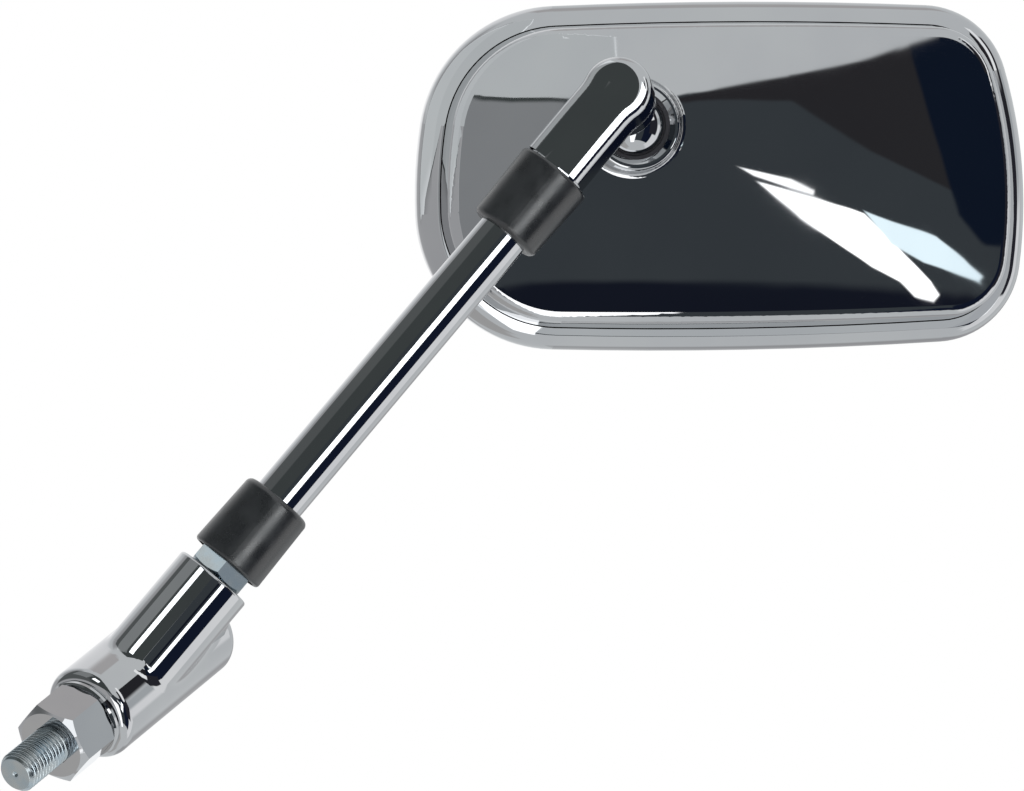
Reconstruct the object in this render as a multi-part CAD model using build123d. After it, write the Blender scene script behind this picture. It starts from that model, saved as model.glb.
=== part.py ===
from build123d import *
import os
from math import cos, radians, sin, sqrt, tan

# Motorcycle mirror on a threaded stud, in millimetres, +Z up, the head's back facing -Y.
# The origin is on the stud's axis, in the face of the lock nut that meets the handlebar.

# How the axes lie, in degrees: rise above +X in the XZ plane, then lean along +Y;
# the neck turns about the stem, the head about the upright and about its own back
stud_rise = 39.4
stud_lean = 47.0
stem_rise = 50.0
stem_lean = 6.0
neck_turn = -16.0
head_turn = 8.0
head_roll = 0.9

# Stud, lock nut and washer
stud_d = 10.0
stud_free = 14.6
stud_grip = 18.5
stud_chamfer = 0.9
relief_width = 0.8
relief_depth = 0.5
centre_drill_d = 1.6
nut_across_flats = 18.0
nut_height = 12.5
nut_turn = -7.0
nut_face_step = 0.5
nut_chamfer_deg = 30.0
washer_d = 20.2
washer_thick = 1.6
washer_clearance = 0.3
washer_edge = 0.4

# Base casting: a foot on the stud's axis and a socket on the stem's axis, joined by a web
foot_d = 23.9
foot_length = 48.3
foot_bottom_round = 3.0
foot_top_round = 3.5
axis_crossing = 14.4
socket_d = 20.0
socket_length = 35.5
socket_rim_round = 0.8
cast_blend = 6.0
web_thick = 17.0
web_setback = 1.2
stem_grip = 16.0
bore_spare = 1.0

# Stem tube, the screws in its two ends and their lock nuts
tube_d = 13.0
tube_wall = 1.5
tube_length = 107.7
screw_d = 10.0
screw_in_tube = 15.0
screw_chamfer = 0.8
screw_showing = 3.2
jam_across_flats = 14.0
jam_height = 6.0
jam_gap = 0.1

# Rubber sleeves
sleeve_length = 20.0
sleeve_wide_d = 19.4
sleeve_narrow_d = 18.3
sleeve_round = 1.6
sleeve_mouth_round = 0.9
sleeve_pocket_depth = 12.5
sleeve_show_nut = 4.4
sleeve_on_elbow = 6.0

# Elbow and ball stud
elbow_d = 15.7
elbow_bulb_d = 17.1
elbow_bulb_blend = 14.0
elbow_length = 30.7
elbow_grip = 13.0
elbow_gap = 0.4
elbow_crown_radius = 250.0
elbow_front_round = 3.4
elbow_back_round = 7.0
elbow_boss_length = 10.0
elbow_boss_round = 1.6
neck_length = 24.8
neck_d = 7.0
neck_root_d = 9.0
ball_d = 17.0

# Ball seats: zones of a spherical shell, in degrees from the head's back
seat_thick = 1.15
front_seat_from = 65.0
front_seat_to = 86.0
rear_seat_from = 106.0
rear_seat_to = 150.0

# Head outline, seen from the back
head_width = 155.2
head_height = 87.8
head_waist = -5.9
long_side_radius = 1170.0
short_side_radius = 121.0
stem_side_round = 35.0
far_side_round = 22.0
ball_from_centre_x = -25.6
ball_from_centre_z = 12.1

# Head depth, measured from the front of the bezel towards the back
head_depth = 27.0
crown_radius = 420.0
shell_wall = 2.0
shell_draft = 6.0
shell_edge_round = 3.0
shell_inset = 4.9
flange_thick = 1.8

# Bezel, glass and what lies between
bezel_sheet = 1.2
bezel_front_lip = 6.0
bezel_depth = 11.0
bezel_front_round = 2.6
bezel_back_round = 6.2
glass_thick = 3.0
gasket_wall = 1.0
gasket_lip = 0.6
pad_thick = 0.8
rim_clearance = 0.2
lip_clearance = 0.05

# Boss of the ball joint, its retainer and screws
boss_d = 24.4
boss_lip_d = 22.2
boss_lip_height = 5.2
boss_lip_round = 0.8
boss_root_round = 1.4
boss_throat_deg = 63.0
boss_mouth_d = 19.8
ball_sink = 1.0
boss_inner_depth = 7.0
retainer_d = 38.0
retainer_thick = 1.5
retainer_hole_d = 9.0
post_d = 7.0
post_circle_d = 31.0
post_count = 3
first_post_deg = 30.0
post_embed = 1.5
clamp_screw_d = 3.0
clamp_screw_length = 7.0
clamp_head_d = 5.6
clamp_head_height = 2.0
clamp_slot_width = 0.9
clamp_slot_depth = 1.0

# Fits
running_fit = 0.05
press_gap = 0.02
nut_clearance = 0.4

# Sizes that follow
stud_r = stud_d / 2
screw_r = screw_d / 2
tube_r = tube_d / 2
elbow_r = elbow_d / 2
ball_r = ball_d / 2
neck_r = neck_d / 2
seat_inner_r = ball_r + running_fit
seat_outer_r = seat_inner_r + seat_thick
cavity_r = seat_outer_r + running_fit
foot_bottom = nut_height + washer_thick
jam_corner_d = jam_across_flats / cos(radians(30))
sleeve_bore_r = tube_r + running_fit
sleeve_pocket_r = max(jam_corner_d, elbow_d) / 2 + nut_clearance

# Depths in the head, counted from the front of the bezel
gasket_at = bezel_sheet
glass_at = gasket_at + gasket_wall
pad_at = glass_at + glass_thick
flange_at = pad_at + pad_thick
rim_inset = bezel_sheet + rim_clearance
glass_inset = rim_inset + gasket_wall + press_gap
cavity_inset = shell_inset + shell_wall
roll_inner_r = bezel_back_round - bezel_sheet
lip_at = bezel_depth - bezel_sheet
lip_inset = shell_inset + (lip_at - flange_at) * tan(radians(shell_draft)) - lip_clearance
flange_in_roll = flange_at + flange_thick - bezel_depth + bezel_back_round
flange_inset = bezel_back_round - sqrt(roll_inner_r**2 - flange_in_roll**2) + rim_clearance
post_top = ball_sink - shell_wall + post_embed
retainer_at = -boss_inner_depth - retainer_thick

# Places along the stem, counted from the crossing of the two axes
lower_nut_at = socket_length + jam_gap
lower_sleeve_at = socket_length + sleeve_show_nut
tube_at = lower_nut_at + jam_height + screw_showing
tube_end = tube_at + tube_length
upper_nut_at = tube_end + jam_gap
elbow_at = upper_nut_at + jam_height + jam_gap
elbow_end = elbow_at + elbow_length
upper_sleeve_end = elbow_at + sleeve_on_elbow


def direction(rise, lean):
    """Unit vector that rises from +X in the XZ plane and leans along +Y."""
    flat = cos(radians(lean))
    return Vector(flat * cos(radians(rise)), sin(radians(lean)), flat * sin(radians(rise)))


def across(axis, towards):
    """Unit vector square to an axis, as near as can be to a wanted direction."""
    return (towards - axis * axis.dot(towards)).normalized()


# Frames of the four groups of pieces
to_viewer = Vector(0, -1, 0)
stud_axis = direction(stud_rise, stud_lean)
stem_axis = direction(stem_rise, stem_lean)
stud_frame = Plane((0, 0, 0), across(stud_axis, to_viewer), stud_axis)
crossing = stud_axis * (foot_bottom + axis_crossing)
stem_frame = Plane(crossing, across(stem_axis, to_viewer), stem_axis)
neck_axis = across(stem_axis, to_viewer).rotate(Axis((0, 0, 0), stem_axis), neck_turn)
elbow_centre = crossing + stem_axis * elbow_end
ball_centre = elbow_centre - neck_axis * neck_length
ball_frame = Plane(ball_centre, across(neck_axis, stem_axis), neck_axis)
crown_over_ball = sqrt(crown_radius**2 - ball_from_centre_x**2 - ball_from_centre_z**2)
ball_height = head_depth - crown_radius + crown_over_ball - ball_sink
ball_in_head = Vector(ball_from_centre_x, ball_from_centre_z, ball_height)
head_back = direction(0, head_turn - 90)
head_right = direction(0, head_turn).rotate(Axis((0, 0, 0), head_back), head_roll)
head_at_ball = Plane(ball_centre, head_right, head_back)
head_frame = Plane(head_at_ball.from_local_coords(ball_in_head * -1), head_right, head_back)
boss_place = Pos(ball_in_head.X, ball_in_head.Y, ball_in_head.Z)


def turned(*points):
    """Solid of revolution about Z of a closed outline of (radius, height) points."""
    return revolve(Plane.XZ * make_face(Polyline(*points, close=True)), Axis.Z)


def rod(radius, start, end):
    """Plain round bar along Z."""
    return Pos(0, 0, start) * Cylinder(radius, end - start, align=(Align.CENTER, Align.CENTER, Align.MIN))


def chamfered_rod(radius, start, end, edge):
    """Round bar along Z with a chamfer at both ends."""
    bar = rod(radius, start, end)
    return chamfer(bar.edges().filter_by(GeomType.CIRCLE), edge)


def hex_nut(across_flats, height, bore_r):
    """Hexagon nut from Z = 0 upwards, with turned chamfers on both faces."""
    corner_r = across_flats / 2 / cos(radians(30))
    face_r = across_flats / 2 - nut_face_step
    drop = (corner_r - face_r) * tan(radians(nut_chamfer_deg))
    blank = extrude(RegularPolygon(corner_r, 6), height)
    bottom_cone = ((0, 0), (face_r, 0), (corner_r, drop))
    top_cone = ((corner_r, height - drop), (face_r, height), (0, height))
    return (blank & turned(*bottom_cone, *top_cone)) - rod(bore_r, -1, height + 1)


def make_stud():
    """Stud with a centre drilling in its free end and a thread relief just inside the lock nut."""
    bar = chamfered_rod(stud_r, -stud_free, foot_bottom + stud_grip, stud_chamfer)
    bar -= rod(stud_r + 1, 0, relief_width) - rod(stud_r - relief_depth, 0, relief_width)
    drilling = Pos(0, 0, -stud_free) * Cone(centre_drill_d / 2, 0, centre_drill_d / 2,
                                            align=(Align.CENTER, Align.CENTER, Align.MIN))
    return stud_frame * (bar - drilling)


def make_lock_nut():
    """Chromed lock nut on the stud."""
    return stud_frame * Rot(0, 0, nut_turn) * hex_nut(nut_across_flats, nut_height, stud_r + running_fit)


def make_washer():
    """Washer between the lock nut and the base casting."""
    ring = rod(washer_d / 2, nut_height, foot_bottom)
    ring -= rod(stud_r + washer_clearance, nut_height - 1, foot_bottom + 1)
    outer = ring.edges().filter_by(GeomType.CIRCLE).group_by(SortBy.RADIUS)[-1]
    return stud_frame * chamfer(outer, washer_edge)


def make_base_casting():
    """One-piece die casting that leans the stem away from the stud."""
    foot_top = foot_bottom + foot_length
    foot = rod(foot_d / 2, foot_bottom, foot_top)
    foot = fillet(foot.edges().group_by(Axis.Z)[0], foot_bottom_round)
    foot = stud_frame * fillet(foot.edges().group_by(Axis.Z)[-1], foot_top_round)

    socket = rod(socket_d / 2, 0, socket_length)
    socket = stem_frame * fillet(socket.edges().group_by(Axis.Z)[-1], socket_rim_round)

    web_plane = Plane(crossing, stem_axis, stem_axis.cross(stud_axis))
    foot_tip = web_plane.to_local_coords(stud_axis * (foot_top - foot_top_round))
    socket_tip = (socket_length - web_setback, 0)
    wedge = make_face(Polyline((0, 0), socket_tip, (foot_tip.X, foot_tip.Y), close=True))
    web = web_plane * extrude(wedge, web_thick / 2, both=True)

    stud_hole = stud_frame * rod(stud_r + press_gap, foot_bottom - 1, foot_bottom + stud_grip + bore_spare)
    stem_hole_end = socket_length - stem_grip - bore_spare
    stem_hole = stem_frame * rod(screw_r + running_fit, stem_hole_end, socket_length + 1)
    casting = foot + socket
    casting = fillet(new_edges(foot, socket, combined=casting), cast_blend)
    return casting + web - stud_hole - stem_hole


def make_stem_tube():
    """Chromed steel tube of the stem."""
    return stem_frame * (rod(tube_r, tube_at, tube_end) - rod(tube_r - tube_wall, tube_at - 1, tube_end + 1))


def make_stem_screw(start, end, in_tube):
    """Screw brazed into an end of the tube, stepped down to the tube's bore where it enters."""
    thread = chamfered_rod(screw_r, start, end, screw_chamfer)
    plug_r = tube_r - tube_wall - press_gap
    plug_zone = rod(tube_r, *in_tube) - rod(plug_r, in_tube[0] - 1, in_tube[1] + 1)
    return stem_frame * (thread - plug_zone)


def make_jam_nut(place):
    """Thin zinc-plated lock nut on one of the stem's screws."""
    return stem_frame * Pos(0, 0, place) * hex_nut(jam_across_flats, jam_height, screw_r + press_gap)


def make_sleeve(wide_end, way):
    """Rubber sleeve that hides a lock nut: bored for the tube, with a pocket for the nut at its wide end.

    wide_end is the wide end's place on the stem; way is 1 where the sleeve runs up from there, else -1.
    """
    outline = Polyline(
        (sleeve_pocket_r, 0),
        (sleeve_wide_d / 2, 0),
        (sleeve_narrow_d / 2, sleeve_length),
        (sleeve_bore_r, sleeve_length),
        (sleeve_bore_r, sleeve_pocket_depth),
        (sleeve_pocket_r, sleeve_pocket_depth),
        close=True,
    )
    section = make_face(outline)
    narrow_rim = section.vertices().sort_by_distance((sleeve_narrow_d / 2, sleeve_length))[0]
    section = fillet(narrow_rim, sleeve_round)
    wide_rim = section.vertices().sort_by_distance((sleeve_wide_d / 2, 0))[0]
    section = fillet(wide_rim, sleeve_mouth_round)
    body = revolve(Plane.XZ * section, Axis.Z)
    if way < 0:
        body = Rot(180, 0, 0) * body
    return stem_frame * Pos(0, 0, wide_end) * body


def make_elbow():
    """Chromed die casting from the stem to the ball joint, its outer side flat and its end a wider round."""
    finger = stem_frame * rod(elbow_r, elbow_at, elbow_end)
    pad_length = elbow_length - sleeve_on_elbow - elbow_gap
    pad_top = neck_length + elbow_r
    outline = Pos(-pad_length / 2, 0) * Rectangle(pad_length, elbow_d) + Circle(elbow_bulb_d / 2)
    waist = outline.vertices().sort_by(Axis.X)[-2:]
    outline = fillet(waist, elbow_bulb_blend)
    pad = extrude(Pos(0, 0, neck_length - elbow_r) * outline, elbow_d)
    pad &= Pos(-pad_length / 2, 0, pad_top - elbow_crown_radius) * Rot(90, 0, 0) * Sphere(elbow_crown_radius)
    for side, edge_round in ((-1, elbow_front_round), (0, elbow_back_round)):
        rim = pad.faces().sort_by(Axis.Z)[side].edges()
        pad = fillet(rim.sort_by(Axis.X)[1:], edge_round)

    boss = rod(elbow_r, neck_length - elbow_boss_length, neck_length)
    boss = fillet(boss.edges().group_by(Axis.Z)[0], elbow_boss_round)
    shank_hole = ball_frame * rod(neck_r + press_gap, neck_length - elbow_boss_length - 1, neck_length)
    thread_hole = stem_frame * rod(screw_r + running_fit, elbow_at - 1, elbow_at + elbow_grip + bore_spare)
    return finger + ball_frame * (pad + boss) - thread_hole - shank_hole


def make_ball_stud():
    """Steel ball on a tapered neck, with a shank that is pressed into the elbow."""
    boss_face = neck_length - elbow_boss_length - press_gap
    ball_top = sqrt(ball_r**2 - neck_r**2)
    neck = turned((0, 0), (neck_r, 0), (neck_r, ball_top), (neck_root_d / 2, boss_face), (neck_r, boss_face),
                  (neck_r, neck_length - bore_spare), (0, neck_length - bore_spare))
    return ball_frame * (Sphere(ball_r) + neck)


def head_outline(inset):
    """Face of the head's outline, four bowed sides with round corners, drawn in all round by an inset."""
    long_side = Circle(long_side_radius - inset)
    short_side = Circle(short_side_radius - inset)
    to_long_side = long_side_radius - head_height / 2
    to_short_side = short_side_radius - head_width / 2
    face = Pos(0, -to_long_side) * long_side
    face &= Pos(0, to_long_side) * long_side
    face &= Pos(-to_short_side, head_waist) * short_side
    face &= Pos(to_short_side, head_waist) * short_side
    stem_side = face.vertices().filter_by(lambda corner: corner.X < 0)
    face = fillet(stem_side, stem_side_round - inset)
    far_side = face.vertices().sort_by(Axis.X)[-2:]
    return fillet(far_side, far_side_round - inset)


def head_slab(inset, start, end):
    """Upright-sided slab of the head's outline between two depths."""
    return extrude(Pos(0, 0, start) * head_outline(inset), end - start)


def crowned_block(inset, start, sink):
    """Drafted block of the head's outline under its crowned back, sunk below the outer surface."""
    rise = head_depth - start
    drawn_in = inset + rise * tan(radians(shell_draft))
    bottom = Pos(0, 0, start) * head_outline(inset)
    top = Pos(0, 0, head_depth) * head_outline(drawn_in)
    block = loft([bottom, top], ruled=True)
    crown = Pos(0, 0, head_depth - crown_radius) * Rot(90, 0, 0) * Sphere(crown_radius - sink)
    return block & crown


def clamp_places(solid):
    """Copies of a solid about the ball's centre, one for each clamp screw."""
    return Part() + [place * solid for place in PolarLocations(post_circle_d / 2, post_count, first_post_deg)]


def make_back_shell():
    """Chromed shell with a crowned back, a flange under the bezel and the boss of the ball joint."""
    outer = crowned_block(shell_inset, flange_at, 0)
    crown = outer.faces().sort_by(Axis.Z)[-1]
    outer = fillet(crown.edges(), shell_edge_round)

    boss_r = boss_d / 2
    lip_r = boss_lip_d / 2
    root_z = ball_sink - shell_wall
    root_r = boss_r + shell_wall * (boss_r - lip_r) / (boss_lip_height - ball_sink)
    boss = turned((0, -boss_inner_depth), (boss_r, -boss_inner_depth), (boss_r, root_z), (root_r, root_z),
                  (lip_r, boss_lip_height), (0, boss_lip_height))
    boss = boss_place * fillet(boss.edges().group_by(Axis.Z)[-1], boss_lip_round)
    posts = boss_place * clamp_places(rod(post_d / 2, -boss_inner_depth, post_top))
    solid_back = outer + boss
    solid_back = fillet(new_edges(outer, boss, combined=solid_back), boss_root_round)

    cavity = crowned_block(cavity_inset, flange_at - 1, shell_wall) - boss - posts
    flange = head_slab(flange_inset, flange_at, flange_at + flange_thick)
    flange -= head_slab(shell_inset + shell_wall / 2, flange_at - 1, flange_at + flange_thick + 1)

    throat_r = cavity_r * sin(radians(boss_throat_deg))
    throat_z = cavity_r * cos(radians(boss_throat_deg))
    mouth_r = boss_mouth_d / 2
    mouth_outline = ((throat_r, throat_z), (mouth_r, boss_lip_height), (mouth_r, head_depth))
    mouth = turned((0, 0), *mouth_outline, (0, head_depth))
    ball_space = boss_place * (Sphere(cavity_r) + rod(cavity_r, -boss_inner_depth - 1, 0) + mouth)
    pilot_top = retainer_at + clamp_screw_length + bore_spare / 2
    pilots = boss_place * clamp_places(rod(clamp_screw_d / 2 + press_gap, -boss_inner_depth - 1, pilot_top))
    return head_frame * (solid_back - cavity + flange - ball_space - pilots)


def make_ball_seat(start_deg, end_deg):
    """Plastic seat of the ball: a zone of a spherical shell between two angles from the head's back."""
    def at(radius, degrees):
        return (radius * sin(radians(degrees)), radius * cos(radians(degrees)))

    middle = (start_deg + end_deg) / 2
    outside = ThreePointArc(*[at(seat_outer_r, angle) for angle in (start_deg, middle, end_deg)])
    inside = ThreePointArc(*[at(seat_inner_r, angle) for angle in (start_deg, middle, end_deg)])
    ends = [Line(at(seat_inner_r, angle), at(seat_outer_r, angle)) for angle in (start_deg, end_deg)]
    return head_frame * boss_place * revolve(Plane.XZ * make_face([outside, inside, *ends]), Axis.Z)


def make_retainer():
    """Pressed steel plate, dished to carry the rear ball seat, that the clamp screws pull up to the boss."""
    below = -cavity_r - retainer_thick - 1
    dish = Sphere(cavity_r + retainer_thick) & rod(cavity_r, below, -boss_inner_depth)
    plate = rod(retainer_d / 2, retainer_at, -boss_inner_depth) + dish
    plate -= Sphere(cavity_r)
    plate -= rod(retainer_hole_d / 2, below, 0)
    plate -= clamp_places(rod(clamp_screw_d / 2 + washer_clearance, retainer_at - 1, 0))
    return head_frame * boss_place * plate


def make_clamp_screws():
    """Slotted screws that hold the retainer to the posts inside the shell."""
    shank = rod(clamp_screw_d / 2, retainer_at, retainer_at + clamp_screw_length)
    head_bottom = retainer_at - clamp_head_height
    head = rod(clamp_head_d / 2, head_bottom, retainer_at)
    head = fillet(head.edges().group_by(Axis.Z)[0], clamp_head_height / 3)
    slot = Pos(0, 0, head_bottom) * Box(clamp_head_d * 2, clamp_slot_width, clamp_slot_depth * 2)
    return head_frame * boss_place * clamp_places(head + shank - slot)


def make_bezel():
    """Rolled metal ring that grips the shell's flange, the gasket and the glass."""
    ring = head_slab(0, 0, bezel_depth)
    ring = fillet(ring.edges().group_by(Axis.Z)[0], bezel_front_round)
    ring = fillet(ring.edges().group_by(Axis.Z)[-1], bezel_back_round)
    room = head_slab(bezel_sheet, bezel_sheet, bezel_depth - bezel_sheet)
    room = fillet(room.edges().group_by(Axis.Z)[-1], roll_inner_r)
    window = head_slab(bezel_front_lip, -1, bezel_depth / 2)
    back = head_slab(lip_inset, bezel_depth / 2, bezel_depth + 1)
    return head_frame * (ring - room - window - back)


def make_gasket():
    """Rubber ring round the edge and front of the glass."""
    ring = head_slab(rim_inset, gasket_at, pad_at)
    ring -= head_slab(bezel_front_lip + gasket_lip, gasket_at - 1, pad_at + 1)
    ring -= head_slab(rim_inset + gasket_wall, glass_at, pad_at + 1)
    return head_frame * ring


def make_parts():
    """All the pieces, by node name."""
    lower_plug = (tube_at, tube_at + screw_in_tube)
    upper_plug = (tube_end - screw_in_tube, tube_end)
    return {
        "stud": make_stud(),
        "lock_nut": make_lock_nut(),
        "washer": make_washer(),
        "base_casting": make_base_casting(),
        "stem_tube": make_stem_tube(),
        "lower_stem_screw": make_stem_screw(socket_length - stem_grip, lower_plug[1], lower_plug),
        "upper_stem_screw": make_stem_screw(upper_plug[0], elbow_at + elbow_grip, upper_plug),
        "lower_jam_nut": make_jam_nut(lower_nut_at),
        "upper_jam_nut": make_jam_nut(upper_nut_at),
        "lower_sleeve": make_sleeve(lower_sleeve_at, 1),
        "upper_sleeve": make_sleeve(upper_sleeve_end, -1),
        "elbow": make_elbow(),
        "ball_stud": make_ball_stud(),
        "front_ball_seat": make_ball_seat(front_seat_from, front_seat_to),
        "rear_ball_seat": make_ball_seat(rear_seat_from, rear_seat_to),
        "retainer": make_retainer(),
        "clamp_screws": make_clamp_screws(),
        "back_shell": make_back_shell(),
        "bezel": make_bezel(),
        "gasket": make_gasket(),
        "mirror_glass": head_frame * head_slab(glass_inset, glass_at, pad_at),
        "backing_pad": head_frame * head_slab(glass_inset, pad_at, flange_at),
    }


os.makedirs("parts", exist_ok=True)
for name, part in make_parts().items():
    export_step(part, f"parts/{name}.step")
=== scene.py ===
import logging
import math
from dataclasses import dataclass, field
from enum import Enum
from typing import Any, ClassVar

import bpy
from mathutils import Matrix, Vector


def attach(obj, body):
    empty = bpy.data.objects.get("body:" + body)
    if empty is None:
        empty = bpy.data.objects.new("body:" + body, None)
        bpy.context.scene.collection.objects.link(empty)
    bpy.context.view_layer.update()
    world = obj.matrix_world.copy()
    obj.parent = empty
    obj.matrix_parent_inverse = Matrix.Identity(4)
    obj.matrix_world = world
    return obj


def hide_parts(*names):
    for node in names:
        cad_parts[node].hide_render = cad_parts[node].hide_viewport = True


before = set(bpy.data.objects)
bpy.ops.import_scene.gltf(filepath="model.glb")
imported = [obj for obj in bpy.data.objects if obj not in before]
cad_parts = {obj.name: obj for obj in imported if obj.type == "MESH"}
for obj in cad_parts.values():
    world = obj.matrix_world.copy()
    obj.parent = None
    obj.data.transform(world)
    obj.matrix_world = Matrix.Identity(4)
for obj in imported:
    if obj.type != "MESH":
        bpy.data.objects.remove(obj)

LOG = logging.getLogger("mirror")
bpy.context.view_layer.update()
MM = 0.001
TO_VIEWER = Vector((0.0, -1.0, 0.0))
# Directions that lamp panels are long in
UPRIGHT = (0.0, 0.0, 1.0)
STEM_WAY = (0.639, 0.105, 0.762)
# Points that lamp panels face, in metres
STUD_AIM = (-0.004, -0.006, -0.003)
STEM_AIM = (0.078, 0.031, 0.087)
ELBOW_AIM = (0.130, 0.040, 0.150)
HEAD_AIM = (0.140, 0.065, 0.157)


class Body(Enum):
    """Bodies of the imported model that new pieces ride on."""

    BASE = "base"
    STEM = "stem"


class Slot(Enum):
    """Material slots of the record; no piece here uses them, and the new threaded pieces take blue_zinc
    directly.
    """

    ZINC = "zinc_steel"


class NodeSheet:
    """Lays nodes in a node tree and wires them."""

    def __init__(self, tree: bpy.types.NodeTree) -> None:
        """Keep the tree.

        Args:
            tree: Node tree that the nodes go into.
        """
        self.tree = tree

    def add(self, kind: str, inputs: dict[str | int, Any] | None = None, **settings: Any) -> bpy.types.Node:
        """Add one node, with its settings and inputs.

        Args:
            kind: Blender's type name of the node.
            inputs: Values or output sockets by input name or number.
            settings: Properties of the node itself.

        Returns:
            The new node.
        """
        node = self.tree.nodes.new(kind)
        for key, value in settings.items():
            setattr(node, key, value)
        for key, value in (inputs or {}).items():
            if isinstance(value, bpy.types.NodeSocket):
                self.tree.links.new(value, node.inputs[key])
            else:
                node.inputs[key].default_value = value
        return node

    def math(self, operation: str, *terms: Any, clamp: bool = False) -> bpy.types.NodeSocket:
        """Add a Math node.

        Args:
            operation: Name of the operation.
            terms: Its numbers or sockets, in order.
            clamp: Whether the result is kept between 0 and 1.

        Returns:
            The node's output socket.
        """
        node = self.add("ShaderNodeMath", dict(enumerate(terms)), operation=operation, use_clamp=clamp)
        return node.outputs[0]

    def ramp(
        self, value: Any, start: float, end: float, low: float = 0.0, high: float = 1.0,
    ) -> bpy.types.NodeSocket:
        """Add a Map Range node that goes smoothly from one number to another.

        Args:
            value: Number or socket that is mapped.
            start: Input at which the rise begins.
            end: Input at which the rise ends.
            low: Output before the rise.
            high: Output after the rise.

        Returns:
            The node's output socket.
        """
        inputs = {"Value": value, "From Min": start, "From Max": end, "To Min": low, "To Max": high}
        return self.add("ShaderNodeMapRange", inputs, interpolation_type="SMOOTHSTEP").outputs["Result"]

    def noise(self, place: bpy.types.NodeSocket, size: float, detail: float = 3.0) -> bpy.types.NodeSocket:
        """Add a Noise Texture whose lumps have a given size.

        Args:
            place: Socket of the coordinates.
            size: Size of a lump in metres.
            detail: Octaves of finer noise.

        Returns:
            The node's factor socket.
        """
        inputs = {"Vector": place, "Scale": 1.0 / size, "Detail": detail}
        return self.add("ShaderNodeTexNoise", inputs).outputs[0]


@dataclass(frozen=True)
class Finish:
    """A surface finish: clouded colour and roughness over a fine relief.

    Attributes:
        name: Name of the material.
        colour: Colour where the cloud is thin.
        cloud_colour: Colour where the cloud is thick.
        metallic: 1 for metal, 0 for the rest.
        roughness: Roughness where the cloud is thin and where it is thick.
        cloud_size: Size of the cloud's lumps in metres.
        relief_size: Size of the relief's lumps in metres.
        relief_height: Height of the relief in metres.
        specular: Specular level of a finish that isn't metal.
        CLOUD_EDGES: Noise at which the cloud begins and at which it is full.
    """

    CLOUD_EDGES: ClassVar[tuple[float, float]] = (0.3, 0.7)

    name: str
    colour: tuple[float, float, float]
    cloud_colour: tuple[float, float, float]
    metallic: float = 0.0
    roughness: tuple[float, float] = (0.4, 0.5)
    cloud_size: float = 0.02
    relief_size: float = 0.001
    relief_height: float = 0.00001
    specular: float = 0.5

    def material(self) -> bpy.types.Material:
        """Give the finish's material, made at the first call.

        Returns:
            The material.
        """
        found = bpy.data.materials.get(self.name)
        if found:
            return found
        material = bpy.data.materials.new(self.name)
        material.use_nodes = True
        material.node_tree.nodes.clear()
        sheet = NodeSheet(material.node_tree)
        place = sheet.add("ShaderNodeTexCoord").outputs["Object"]
        cloud = sheet.ramp(sheet.noise(place, self.cloud_size), *self.CLOUD_EDGES)
        tint = sheet.add("ShaderNodeMix", {0: cloud}, data_type="RGBA")
        tint.inputs[6].default_value = (*self.colour, 1.0)
        tint.inputs[7].default_value = (*self.cloud_colour, 1.0)
        rough = sheet.ramp(cloud, 0.0, 1.0, *self.roughness)
        lumps = sheet.noise(place, self.relief_size, detail=2.0)
        bump = sheet.add("ShaderNodeBump", {"Height": lumps, "Strength": 1.0, "Distance": self.relief_height})
        surface = sheet.add("ShaderNodeBsdfPrincipled", {
            "Base Color": tint.outputs[2],
            "Metallic": self.metallic,
            "Roughness": rough,
            "Specular IOR Level": self.specular,
            "Normal": bump.outputs[0],
        })
        sheet.add("ShaderNodeOutputMaterial", {"Surface": surface.outputs[0]})
        return material


PLATING = (0.525, 0.535, 0.545)
PLATING_CLOUD = (0.495, 0.505, 0.52)
CHROME = Finish("bright_chrome", PLATING, PLATING_CLOUD, 1.0, (0.015, 0.035),
                cloud_size=0.018, relief_size=0.016, relief_height=0.000008)
PLATED_SHELL = Finish("chromed_shell", PLATING, PLATING_CLOUD, 1.0, (0.012, 0.03),
                      cloud_size=0.03, relief_size=0.03, relief_height=0.00002)
BLUE_ZINC = Finish("blue_zinc", (0.43, 0.51, 0.56), (0.52, 0.56, 0.57), 1.0, (0.16, 0.27),
                   cloud_size=0.004, relief_size=0.0006, relief_height=0.00001)
SLEEVE_RUBBER = Finish("sleeve_rubber", (0.014, 0.016, 0.018), (0.022, 0.025, 0.028), 0.0, (0.26, 0.34),
                       cloud_size=0.006, relief_size=0.0004, relief_height=0.00001, specular=0.8)
GASKET_RUBBER = Finish("gasket_rubber", (0.014, 0.014, 0.015), (0.024, 0.024, 0.025), 0.0, (0.5, 0.65),
                       cloud_size=0.005, relief_size=0.0003, relief_height=0.00001)
SILVERED_GLASS = Finish("silvered_glass", (0.86, 0.88, 0.88), (0.84, 0.865, 0.87), 1.0, (0.008, 0.02),
                        cloud_size=0.04, relief_size=0.05, relief_height=0.000002)
SEAT_PLASTIC = Finish("seat_plastic", (0.045, 0.047, 0.052), (0.035, 0.037, 0.042), 0.0, (0.35, 0.5),
                      cloud_size=0.004, relief_size=0.0005, relief_height=0.00001)
FOAM = Finish("pad_foam", (0.09, 0.09, 0.10), (0.13, 0.13, 0.14), 0.0, (0.8, 0.95),
              cloud_size=0.006, relief_size=0.0008, relief_height=0.0001)


def dress(node: str, finish: Finish) -> None:
    """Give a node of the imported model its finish.

    Args:
        node: Name of the node.
        finish: The finish.
    """
    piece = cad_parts[node]
    if not piece.material_slots:
        piece.data.materials.append(None)
    for slot in piece.material_slots:
        slot.material = finish.material()
    LOG.info("%s: dressed in %s", node, finish.name)


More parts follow.
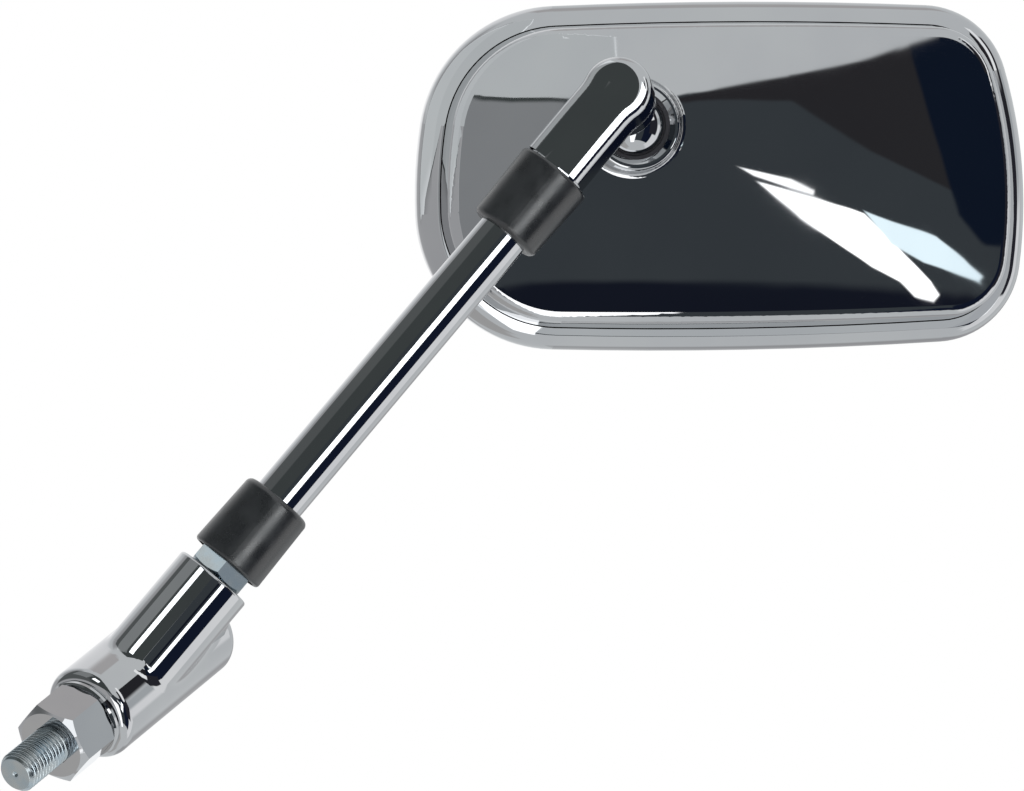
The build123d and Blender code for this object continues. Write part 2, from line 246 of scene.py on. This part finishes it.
def direction(rise: float, lean: float) -> Vector:
    """Unit vector that rises from +X in the XZ plane and leans along +Y, both in degrees."""
    flat = math.cos(math.radians(lean))
    rise_rad = math.radians(rise)
    return Vector((flat * math.cos(rise_rad), math.sin(math.radians(lean)), flat * math.sin(rise_rad)))


def placed(origin: Vector, axis: Vector) -> Matrix:
    """Frame with its Z along an axis and its X turned to the viewer.

    Args:
        origin: Origin of the frame in metres.
        axis: Unit vector of its Z.

    Returns:
        The frame's matrix.
    """
    x_dir = (TO_VIEWER - axis * axis.dot(TO_VIEWER)).normalized()
    y_dir = axis.cross(x_dir)
    turn = Matrix((x_dir, y_dir, axis)).transposed()
    return Matrix.Translation(origin) @ turn.to_4x4()


class ThreadTree:
    """Geometry Nodes tree that winds a screw thread on a closed bar with chamfered ends.

    Attributes:
        SIZES: Names of the tree's lengths.
        COUNTS: Names of its whole numbers.
        FLANK: Part of half a turn between which the flank falls from crest to root.
        MERGE_M: Distance within which points of the rolled grid are joined, in metres.
        tree: The tree itself.
    """

    SIZES: ClassVar[tuple[str, ...]] = (
        "Radius", "Pitch", "Depth", "Length", "Chamfer", "Drill Radius", "Drill Depth")
    COUNTS: ClassVar[tuple[str, ...]] = ("Sides", "Rows")
    FLANK: ClassVar[tuple[float, float]] = (0.05, 0.95)
    MERGE_M: ClassVar[float] = 0.000001

    def __init__(self) -> None:
        """Build the tree once."""
        self.tree = bpy.data.node_groups.new("screw_thread", "GeometryNodeTree")
        face = self.tree.interface
        for name in self.SIZES:
            face.new_socket(name, in_out="INPUT", socket_type="NodeSocketFloat")
        for name in self.COUNTS:
            face.new_socket(name, in_out="INPUT", socket_type="NodeSocketInt")
        face.new_socket("Finish", in_out="INPUT", socket_type="NodeSocketMaterial")
        face.new_socket("Geometry", in_out="OUTPUT", socket_type="NodeSocketGeometry")
        self._lay_nodes()

    def _lay_nodes(self) -> None:
        """Roll a flat grid into the threaded bar: across it is the turn, along it the length."""
        sheet = NodeSheet(self.tree)
        given = sheet.add("NodeGroupInput").outputs
        grid = sheet.add("GeometryNodeMeshGrid", {
            "Size X": 1.0, "Size Y": 1.0, "Vertices X": given["Sides"], "Vertices Y": given["Rows"]})
        position = sheet.add("GeometryNodeInputPosition").outputs[0]
        flat = sheet.add("ShaderNodeSeparateXYZ", {0: position}).outputs
        turn = sheet.math("ADD", flat["X"], 0.5)
        along = sheet.math("ADD", flat["Y"], 0.5)

        cap = sheet.math("MULTIPLY", given["Radius"], 0.5)
        span = sheet.math("ADD", given["Length"], given["Radius"])
        run = sheet.math("SUBTRACT", sheet.math("MULTIPLY", along, span), cap)
        height = sheet.math("MINIMUM", sheet.math("MAXIMUM", run, 0.0), given["Length"])
        left = sheet.math("SUBTRACT", given["Length"], run)
        start_cap = sheet.math("ADD", sheet.math("DIVIDE", run, cap), 1.0, clamp=True)
        end_cap = sheet.math("ADD", sheet.math("DIVIDE", left, cap), 1.0, clamp=True)
        in_cap = sheet.math("MULTIPLY", start_cap, end_cap)

        turns = sheet.math("DIVIDE", height, given["Pitch"])
        phase = sheet.math("FRACT", sheet.math("SUBTRACT", turns, turn))
        wave = sheet.math("ABSOLUTE", sheet.math("SUBTRACT", sheet.math("MULTIPLY", phase, 2.0), 1.0))
        groove = sheet.math("MULTIPLY", sheet.ramp(wave, *self.FLANK), given["Depth"])
        crest = sheet.math("SUBTRACT", given["Radius"], groove)
        to_end = sheet.math("MAXIMUM", sheet.math("MINIMUM", height, left), 0.0)
        edge = sheet.math("ADD", sheet.math("SUBTRACT", given["Radius"], given["Chamfer"]), to_end)
        radius = sheet.math("MULTIPLY", sheet.math("MINIMUM", crest, edge), in_cap)

        sunk = sheet.math("SUBTRACT", 1.0, sheet.math("DIVIDE", radius, given["Drill Radius"]), clamp=True)
        drill = sheet.math("MULTIPLY", sheet.math("MULTIPLY", sunk, given["Drill Depth"]),
                           sheet.math("LESS_THAN", run, 0.0))
        angle = sheet.math("MULTIPLY", turn, 2.0 * math.pi)
        rolled = sheet.add("ShaderNodeCombineXYZ", {
            "X": sheet.math("MULTIPLY", radius, sheet.math("COSINE", angle)),
            "Y": sheet.math("MULTIPLY", radius, sheet.math("SINE", angle)),
            "Z": sheet.math("ADD", height, drill)})
        bar = sheet.add("GeometryNodeSetPosition", {
            "Geometry": grid.outputs["Mesh"], "Position": rolled.outputs[0]})
        closed = sheet.add("GeometryNodeMergeByDistance", {
            "Geometry": bar.outputs[0], "Distance": self.MERGE_M})
        smooth = sheet.add("GeometryNodeSetShadeSmooth", {"Geometry": closed.outputs[0]})
        real = sheet.add("GeometryNodeRealizeInstances", {"Geometry": smooth.outputs[0]})
        coated = sheet.add("GeometryNodeSetMaterial", {
            "Geometry": real.outputs[0], "Material": given["Finish"]})
        sheet.add("NodeGroupOutput", {"Geometry": coated.outputs[0]})

    def wind(self, name: str, values: dict[str, Any], place: Matrix) -> bpy.types.Object:
        """Make one threaded bar as a plain mesh.

        Args:
            name: Name of the piece.
            values: Value of each named input of the tree.
            place: Frame whose Z is the bar's axis and whose origin is the bar's start.

        Returns:
            The piece, at the origin with its place in its mesh.
        """
        piece = bpy.data.objects.new(name, bpy.data.meshes.new(name))
        bpy.context.scene.collection.objects.link(piece)
        modifier = piece.modifiers.new("thread", "NODES")
        modifier.node_group = self.tree
        for item in self.tree.interface.items_tree:
            if item.item_type == "SOCKET" and item.in_out == "INPUT":
                modifier[item.identifier] = values[item.name]
        shaped = piece.evaluated_get(bpy.context.evaluated_depsgraph_get())
        mesh = bpy.data.meshes.new_from_object(shaped)
        piece.modifiers.remove(modifier)
        mesh.name = name
        mesh.transform(place)
        piece.data = mesh
        return piece


@dataclass
class ThreadedBar:
    """A screw or stud with its thread.

    Attributes:
        node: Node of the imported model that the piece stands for.
        body: Body that it rides on.
        start: Place of its first end on its axis, in mm.
        end: Place of its other end, in mm.
        diameter: Outer diameter of the thread, in mm.
        pitch: Pitch of the thread, in mm.
        depth: Depth of the thread, in mm.
        chamfer: Chamfer of both ends, in mm.
        drill: Diameter of the centre drilling in its first end, in mm.
        sides: Points round the thread.
        rows_per_turn: Points along one turn of it.
    """

    node: str
    body: Body
    start: float
    end: float
    diameter: float = 10.0
    pitch: float = 1.25
    depth: float = 0.7
    chamfer: float = 0.9
    drill: float = 1.6
    sides: int = 49
    rows_per_turn: int = 9

    def build(self, tree: ThreadTree, origin: Vector, axis: Vector) -> bpy.types.Object:
        """Wind the thread and put it on its axis.

        Args:
            tree: The thread's Geometry Nodes tree.
            origin: Point of the axis that places are counted from, in metres.
            axis: Unit vector of the axis.

        Returns:
            The piece.
        """
        length = self.end - self.start
        values = {
            "Radius": self.diameter / 2 * MM, "Pitch": self.pitch * MM, "Depth": self.depth * MM,
            "Length": length * MM, "Chamfer": self.chamfer * MM, "Drill Radius": self.drill / 2 * MM,
            "Drill Depth": self.drill / 2 * MM, "Sides": self.sides,
            "Rows": round((length + self.diameter / 2) / self.pitch * self.rows_per_turn),
            "Finish": BLUE_ZINC.material(),
        }
        place = placed(origin + axis * (self.start * MM), axis)
        piece = tree.wind(f"{self.node}_thread", values, place)
        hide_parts(self.node)
        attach(piece, self.body.value)
        LOG.info("%s: thread of %d faces", piece.name, len(piece.data.polygons))
        return piece


@dataclass
class Base:
    """Stud, lock nut, washer and base casting.

    Attributes:
        rise: Rise of the stud's axis in the XZ plane, in degrees.
        lean: Lean of that axis along +Y, in degrees.
        stud: The stud with its thread.
    """

    rise: float = 39.4
    lean: float = 47.0
    stud: ThreadedBar = field(default_factory=lambda: ThreadedBar("stud", Body.BASE, -14.6, 32.6))

    def axis(self) -> Vector:
        """Unit vector of the stud's axis."""
        return direction(self.rise, self.lean)

    def build(self, tree: ThreadTree) -> None:
        """Wind the stud's thread."""
        self.stud.build(tree, Vector(), self.axis())

    def dress(self) -> None:
        """Chrome the nut, the washer and the casting."""
        for node in ("lock_nut", "washer", "base_casting"):
            dress(node, CHROME)


@dataclass
class Stem:
    """Stem tube, the screws in its ends, their lock nuts and the rubber sleeves.

    Attributes:
        base: Base that the stem stands on.
        rise: Rise of the stem's axis in the XZ plane, in degrees.
        lean: Lean of that axis along +Y, in degrees.
        crossing: Place of the stem's axis on the stud's axis, in mm from the origin.
        lower_screw: Screw in the tube's lower end.
        upper_screw: Screw in the tube's upper end.
    """

    base: Base
    rise: float = 50.0
    lean: float = 6.0
    crossing: float = 28.5
    lower_screw: ThreadedBar = field(default_factory=lambda: ThreadedBar(
        "lower_stem_screw", Body.STEM, 19.5, 59.8, diameter=9.96, drill=0.1))
    upper_screw: ThreadedBar = field(default_factory=lambda: ThreadedBar(
        "upper_stem_screw", Body.STEM, 137.5, 171.7, diameter=9.96, drill=0.1))

    def axis(self) -> Vector:
        """Unit vector of the stem's axis."""
        return direction(self.rise, self.lean)

    def origin(self) -> Vector:
        """Point where the stem's axis crosses the stud's, in metres."""
        return self.base.axis() * (self.crossing * MM)

    def build(self, tree: ThreadTree) -> None:
        """Wind the threads of the two screws."""
        self.lower_screw.build(tree, self.origin(), self.axis())
        self.upper_screw.build(tree, self.origin(), self.axis())

    def dress(self) -> None:
        """Chrome the tube, zinc the nuts and darken the sleeves."""
        dress("stem_tube", CHROME)
        for node in ("lower_jam_nut", "upper_jam_nut"):
            dress(node, BLUE_ZINC)
        for node in ("lower_sleeve", "upper_sleeve"):
            dress(node, SLEEVE_RUBBER)


@dataclass
class BallJoint:
    """Elbow, ball stud, seats, retainer and clamp screws."""

    def dress(self) -> None:
        """Give each piece of the joint its finish."""
        for node in ("elbow", "ball_stud"):
            dress(node, CHROME)
        for node in ("retainer", "clamp_screws"):
            dress(node, BLUE_ZINC)
        for node in ("front_ball_seat", "rear_ball_seat"):
            dress(node, SEAT_PLASTIC)


@dataclass
class Head:
    """Back shell, bezel, gasket, glass and backing pad."""

    def dress(self) -> None:
        """Give each piece of the head its finish."""
        dress("back_shell", PLATED_SHELL)
        dress("bezel", PLATED_SHELL)
        dress("gasket", GASKET_RUBBER)
        dress("mirror_glass", SILVERED_GLASS)
        dress("backing_pad", FOAM)


@dataclass(frozen=True)
class Card:
    """A flat card of the studio, dark or bright, as metal mirrors it.

    Attributes:
        corners: Its corners anticlockwise, as turn (0 towards the camera, 90 towards +X) and rise in degrees.
        colour: Its brightness in red, green and blue, where 1 is white.
        soft: Width of its soft edge in degrees.
    """

    corners: tuple[tuple[float, float], ...]
    colour: tuple[float, float, float]
    soft: float = 0.5

    def cover(self, sheet: NodeSheet, turn: Any, rise: Any, behind: Any) -> bpy.types.NodeSocket:
        """Put the card in front of what is already there.

        Args:
            sheet: Node sheet of the world.
            turn: Socket of the turn in degrees.
            rise: Socket of the rise in degrees.
            behind: Colour or socket of what is behind the card.

        Returns:
            Socket of the colour with the card.
        """
        depth: Any = None
        for first, last in zip(self.corners, self.corners[1:] + self.corners[:1]):
            run, climb = last[0] - first[0], last[1] - first[1]
            side = math.hypot(run, climb)
            start = (climb * first[0] - run * first[1]) / side
            along = sheet.math("MULTIPLY_ADD", turn, -climb / side, start)
            inside = sheet.math("MULTIPLY_ADD", rise, run / side, along)
            depth = inside if depth is None else sheet.math("MINIMUM", depth, inside)
        shown = sheet.ramp(depth, -self.soft, self.soft)
        front = (*self.colour, 1.0)
        return sheet.add("ShaderNodeMix", {0: shown, 6: behind, 7: front}, data_type="RGBA").outputs[2]


@dataclass(frozen=True)
class Panel:
    """A flat lamp panel that only a few pieces mirror.

    Attributes:
        name: Name of the panel.
        turn: Turn of its plane as seen from the aim, 0 towards the camera and 90 towards +X.
        rise: Rise of its plane in degrees.
        size: Its width and its length, in metres.
        level: Brightness that it adds, where 1 is white.
        seen_by: Pieces that mirror it.
        aim: Point that its plane faces, in metres.
        along: Direction of its length.
        shift: Place of its middle in its plane, in metres across and along.
        away: Distance of its plane from the aim, in metres.
        TINT: Colour of every panel's light.
    """

    TINT: ClassVar[tuple[float, float, float]] = (0.965, 0.99, 1.0)

    name: str
    turn: float
    rise: float
    size: tuple[float, float]
    level: float
    seen_by: tuple[str, ...]
    aim: tuple[float, float, float]
    along: tuple[float, float, float] = STEM_WAY
    shift: tuple[float, float] = (0.0, 0.0)
    away: float = 0.7

    def hang(self) -> None:
        """Hang the panel and show it to its pieces."""
        turn, rise = math.radians(self.turn), math.radians(self.rise)
        out = Vector((math.sin(turn) * math.cos(rise), -math.cos(turn) * math.cos(rise), math.sin(rise)))
        along = Vector(self.along)
        along = (along - out * out.dot(along)).normalized()
        across = along.cross(out)
        lamp = bpy.data.lights.new(self.name, "AREA")
        lamp.shape = "RECTANGLE"
        lamp.size, lamp.size_y = self.size
        lamp.energy = self.level * math.pi * lamp.size * lamp.size_y
        lamp.color = self.TINT
        holder = bpy.data.objects.new(self.name, lamp)
        holder.location = Vector(self.aim) + out * self.away + across * self.shift[0] + along * self.shift[1]
        holder.rotation_euler = Matrix((across, along, out)).transposed().to_euler()
        holder.visible_camera = False
        holder.visible_diffuse = False
        bpy.context.scene.collection.objects.link(holder)
        receivers = bpy.data.collections.new(f"{self.name}_pieces")
        for piece in self.seen_by:
            receivers.objects.link(bpy.data.objects[piece])
        holder.light_linking.receiver_collection = receivers
        LOG.info("%s: seen by %s", self.name, ", ".join(self.seen_by))


@dataclass(frozen=True)
class SoftLamp:
    """A large lamp that lights the matt pieces and isn't mirrored.

    Attributes:
        name: Name of the lamp.
        place: Its place in metres.
        size: Its width in metres.
        power: Its power in watts.
    """

    name: str
    place: tuple[float, float, float]
    size: float
    power: float

    def hang(self, aim: Vector) -> None:
        """Hang the lamp and turn it to the object.

        Args:
            aim: Point that it faces, in metres.
        """
        lamp = bpy.data.lights.new(self.name, "AREA")
        lamp.size = self.size
        lamp.energy = self.power
        holder = bpy.data.objects.new(self.name, lamp)
        holder.location = self.place
        holder.rotation_euler = (aim - Vector(self.place)).to_track_quat("-Z", "Y").to_euler()
        holder.visible_glossy = False
        holder.visible_camera = False
        bpy.context.scene.collection.objects.link(holder)


CEILING = (0.62, 0.60, 0.60)
SHADE = (0.075, 0.085, 0.085)
BROWN_SHADE = (0.035, 0.034, 0.038)

# Pale and grey cards at the sides, above and below; each card covers those before it
SIDE_CARDS: tuple[Card, ...] = (
    Card(((-140, -76), (-45, -76), (-45, -24), (-140, -24)), (0.60, 0.59, 0.58), 4.0),
    Card(((135, 56), (195, 56), (195, 80), (135, 80)), CEILING, 5.0),
    Card(((-225, 56), (-165, 56), (-165, 80), (-225, 80)), CEILING, 5.0),
    Card(((94.5, -3), (108, -3), (108, 16), (94.5, 16)), (0.60, 0.63, 0.65), 1.5),
    Card(((-165, -32), (-14, -32), (-14, 12), (-165, 12)), (0.56, 0.56, 0.57), 4.0),
    Card(((-178, -10), (-146, -10), (-146, 60), (-178, 60)), (1.05, 1.05, 1.06), 8.0),
    Card(((-128, 22), (-104, 22), (-104, 62), (-128, 62)), (0.50, 0.50, 0.51), 8.0),
    Card(((72, -60), (112, -60), (112, 2), (72, 2)), (1.12, 1.12, 1.13), 3.0),
    Card(((150, -60), (179, -60), (179, 2), (150, 2)), (0.5, 0.5, 0.51), 8.0),
)
# Dark cards in front, which the head's back mirrors; the first three end where the head's lamp panel ends
FRONT_CARDS: tuple[Card, ...] = (
    Card(((-50, 4), (-14, 7.6), (-14, 70.1), (-27, 71.9), (-41, 72.6), (-50, 72.5)), SHADE, 0.2),
    Card(((-112, -2), (-44, 5), (-44, 72.5), (-68, 71), (-88, 66.3), (-101, 60), (-112, 50)),
         (0.14, 0.15, 0.15), 4.0),
    Card(((-16, 7), (9.05, 7), (8.05, 21.2), (7.05, 33.4), (6.0, 43.4), (4.85, 51.2), (3.75, 57.3),
          (2.45, 62.1), (1.2, 65.9), (-6, 68.2), (-16, 70.4)), SHADE, 0.1),
    Card(((-14, -33), (0, -33), (10, 7.6), (-14, 7.1)), (0.36, 0.37, 0.38), 0.15),
    Card(((-14, -52), (74, -52), (74, 8.9), (4.9, 8.13), (-1.7, -7)), (0.06, 0.07, 0.079), 0.15),
    Card(((14, 7.6), (26, 7.4), (31, 10.85), (14, 7.95)), BROWN_SHADE, 0.15),
    Card(((22.4, 7.5), (28.6, 3.7), (35, 0.9), (74, 0), (74, 14.5), (40, 12.2), (31, 10.85), (22.4, 9.4)),
         BROWN_SHADE, 0.15),
    Card(((43, 10), (66, 10), (63, 40), (52, 32)), (0.03, 0.03, 0.035)),
    Card(((39, -52), (74, -52), (74, 13), (39, 6)), (0.01, 0.015, 0.035), 1.0),
    Card(((35.7, -1), (37.6, -3.1), (74, -3.1), (74, 14.5), (40, 12.2), (32.2, 11), (33.5, 6), (35.1, 0.8)),
         (0.008, 0.014, 0.03), 0.2),
    Card(((-2, -10), (40, -10), (40, -6.3), (-2, -6.3)), (0.012, 0.015, 0.027), 0.3),
)
# Bright cards between them
BRIGHT_CARDS: tuple[Card, ...] = (
    Card(((18.3, 2.5), (19.9, 1.6), (22.3, 0.9), (24.1, 0.3), (24.2, 0.7), (22.3, 1.6)),
         (2.5, 2.5, 2.5), 0.07),
    Card(((19.7, 1.4), (23.1, -1.4), (28.8, -4.9), (32.3, -6.5), (33.8, -6.7), (34.2, -6.4), (28.1, -1.0),
          (24.2, 0.2)), (3.0, 3.0, 3.0), 0.07),
    Card(((28.1, -0.8), (30.3, -3.2), (33.0, -4.5), (37.2, -5.6), (37.5, -5.2), (36.2, -4.1), (33.9, -2.6)),
         (1.5, 1.75, 1.85), 0.08),
    Card(((-14, -60), (6, -60), (15.5, -14), (-10, -10)), (2.2, 2.2, 2.2)),
)
# Cards to the right, which the base's foot mirrors
FOOT_CARDS: tuple[Card, ...] = (
    Card(((66, 10), (80, 10), (80, 45), (66, 45)), (1.4, 1.4, 1.4)),
    Card(((60, -24), (91, -24), (93, 16), (60, 12)), (0.03, 0.03, 0.04), 1.5),
    Card(((80, 10), (92.6, 10), (94.8, 38), (82, 38)), (0.03, 0.03, 0.035), 1.5),
)
LAMP_PANELS: tuple[Panel, ...] = (
    Panel("stem_strip", 28.0, -8.5, (0.26, 0.40), 3.5,
          ("stem_tube", "lower_sleeve", "upper_sleeve", "lower_jam_nut", "lock_nut"), STEM_AIM),
    Panel("socket_edge", 33.5, -15.5, (0.12, 0.40), 3.0, ("base_casting",), STEM_AIM),
    Panel("socket_strip", -30.0, 30.5, (0.17, 0.22), 3.0, ("base_casting",), STEM_AIM),
    Panel("socket_fill", -68.0, 42.5, (0.44, 0.5), 0.20, ("base_casting",), STEM_AIM),
    Panel("elbow_strip", 29.0, -4.0, (0.67, 1.2), 3.0, ("elbow",), ELBOW_AIM),
    Panel("elbow_side", -82.0, 46.0, (0.52, 0.9), 0.45, ("elbow",), ELBOW_AIM),
    Panel("head_sky", -46.0, 0.0, (5.25, 4.6), 0.72, ("back_shell", "bezel"), HEAD_AIM,
          along=(-0.080, 0.082, 0.993), shift=(-0.457, 2.413), away=1.5),
    Panel("rim_fill", 30.0, -19.0, (1.35, 0.95), 0.68, ("bezel",), HEAD_AIM, along=UPRIGHT),
    Panel("stud_streak", 96.0, 10.0, (0.4, 0.14), 4.0, ("stud_thread",), STUD_AIM, along=UPRIGHT),
    Panel("stud_low", 142.0, -22.0, (0.4, 0.3), 2.4, ("stud_thread",), STUD_AIM, along=UPRIGHT),
    Panel("nut_rim", 177.0, -11.0, (0.3, 0.3), 0.5, ("lock_nut",), STUD_AIM, along=UPRIGHT),
    Panel("nut_corner", -25.0, -19.0, (0.3, 0.3), 1.2, ("lock_nut",), STUD_AIM, along=UPRIGHT),
    Panel("jam_left", -52.0, 40.0, (0.4, 0.4), 0.8, ("lower_jam_nut",), STEM_AIM),
    Panel("jam_right", 55.0, -28.0, (0.5, 0.5), 0.4, ("lower_jam_nut",), STEM_AIM),
)
SOFT_LAMPS: tuple[SoftLamp, ...] = (
    SoftLamp("key_lamp", (-0.5, -1.0, 1.0), 0.8, 6.0),
    SoftLamp("fill_lamp", (1.1, -0.9, 0.3), 0.9, 3.5),
    SoftLamp("back_lamp", (0.2, 1.3, 0.9), 1.0, 4.0),
)


@dataclass
class Studio:
    """White floor and surroundings, soft lamps, cards and lamp panels, and the camera.

    Attributes:
        camera_at: Place of the camera in metres.
        lens: Focal length of the camera in mm.
        aim: Middle of the object, which the soft lamps face, in metres.
        floor_z: Height of the floor in metres.
        floor_size: Width of the floor in metres.
        floor_grey: Colour of the floor where it shows the shadow.
        floor_fade: Distances from the middle between which the floor turns white, in metres.
        floor_white: Share of plain white in the floor, near and far.
        sky_level: Brightness of the surroundings for matt pieces.
        walls: Brightness of the surroundings that metal mirrors, where no card stands.
        cards: The cards, from the rearmost to the foremost.
        panels: The lamp panels.
        lamps: The soft lamps.
    """

    camera_at: tuple[float, float, float] = (0.10976, -1.5, 0.08329)
    lens: float = 221.5
    aim: tuple[float, float, float] = (0.11, 0.03, 0.08)
    floor_z: float = -0.35
    floor_size: float = 30.0
    floor_grey: float = 0.85
    floor_fade: tuple[float, float] = (0.5, 2.5)
    floor_white: tuple[float, float] = (0.8, 1.0)
    sky_level: float = 0.5
    walls: tuple[float, float, float] = (0.80, 0.82, 0.83)
    cards: tuple[Card, ...] = SIDE_CARDS + FRONT_CARDS + BRIGHT_CARDS + FOOT_CARDS
    panels: tuple[Panel, ...] = LAMP_PANELS
    lamps: tuple[SoftLamp, ...] = SOFT_LAMPS

    def build(self) -> None:
        """Set up the floor, the surroundings, the lamps and the camera."""
        self._floor()
        self._surroundings()
        for lamp in self.lamps:
            lamp.hang(Vector(self.aim))
        for panel in self.panels:
            panel.hang()
        self._camera()
        bpy.context.scene.view_settings.view_transform = "Standard"

    def _floor(self) -> None:
        """Lay the pale floor, which keeps a soft shadow."""
        half = self.floor_size / 2
        mesh = bpy.data.meshes.new("floor")
        plan = ((-half, -half), (half, -half), (half, half), (-half, half))
        corners = [(x, y, self.floor_z) for x, y in plan]
        mesh.from_pydata(corners, [], [(0, 1, 2, 3)])
        floor = bpy.data.objects.new("floor", mesh)
        bpy.context.scene.collection.objects.link(floor)
        material = bpy.data.materials.new("pale_floor")
        material.use_nodes = True
        material.node_tree.nodes.clear()
        sheet = NodeSheet(material.node_tree)
        grey = (self.floor_grey, self.floor_grey, self.floor_grey, 1.0)
        matt = sheet.add("ShaderNodeBsdfDiffuse", {"Color": grey})
        white = sheet.add("ShaderNodeEmission", {"Strength": 1.0})
        rays = sheet.add("ShaderNodeLightPath").outputs
        place = sheet.add("ShaderNodeTexCoord").outputs["Object"]
        away = sheet.add("ShaderNodeVectorMath", {0: place}, operation="LENGTH").outputs["Value"]
        white_share = sheet.ramp(away, *self.floor_fade, *self.floor_white)
        seen = sheet.math("MULTIPLY", rays["Is Camera Ray"], white_share)
        both = sheet.add("ShaderNodeMixShader", {0: seen, 1: matt.outputs[0], 2: white.outputs[0]})
        sheet.add("ShaderNodeOutputMaterial", {"Surface": both.outputs[0]})
        mesh.materials.append(material)
        floor.visible_glossy = False

    def _surroundings(self) -> None:
        """White surroundings for the camera, and for metal pale walls with the cards before them."""
        world = bpy.data.worlds.new("studio")
        bpy.context.scene.world = world
        world.use_nodes = True
        world.node_tree.nodes.clear()
        sheet = NodeSheet(world.node_tree)
        way = sheet.add("ShaderNodeTexCoord").outputs["Generated"]
        x, y, z = sheet.add("ShaderNodeSeparateXYZ", {0: way}).outputs
        to_degrees = 180.0 / math.pi
        turn = sheet.math("MULTIPLY", sheet.math("ARCTAN2", x, sheet.math("MULTIPLY", y, -1.0)), to_degrees)
        rise = sheet.math("MULTIPLY", sheet.math("ARCSINE", z), to_degrees)
        colour: Any = (*self.walls, 1.0)
        for card in self.cards:
            colour = card.cover(sheet, turn, rise, colour)
        rays = sheet.add("ShaderNodeLightPath").outputs
        mirrored = sheet.math("MAXIMUM", rays["Is Glossy Ray"], rays["Is Transmission Ray"])
        plain = sheet.ramp(rays["Is Camera Ray"], 0.0, 1.0, self.sky_level, 1.0)
        even = sheet.add("ShaderNodeCombineColor", {0: plain, 1: plain, 2: plain}).outputs[0]
        seen = sheet.add("ShaderNodeMix", {0: mirrored, 6: even, 7: colour}, data_type="RGBA").outputs[2]
        sky = sheet.add("ShaderNodeBackground", {"Color": seen})
        sheet.add("ShaderNodeOutputWorld", {"Surface": sky.outputs[0]})

    def _camera(self) -> None:
        """Set the camera level, straight towards the head's back."""
        data = bpy.data.cameras.new("camera")
        data.lens = self.lens
        camera = bpy.data.objects.new("camera", data)
        camera.location = self.camera_at
        camera.rotation_euler = (math.radians(90.0), 0.0, 0.0)
        bpy.context.scene.collection.objects.link(camera)
        bpy.context.scene.camera = camera


def main() -> None:
    """Build and dress the mirror, then the studio round it."""
    logging.basicConfig(level=logging.INFO, format="%(name)s: %(message)s")
    tree = ThreadTree()
    base = Base()
    base.build(tree)
    base.dress()
    stem = Stem(base)
    stem.build(tree)
    stem.dress()
    BallJoint().dress()
    Head().dress()
    Studio().build()


if __name__ == "__main__":
    main()
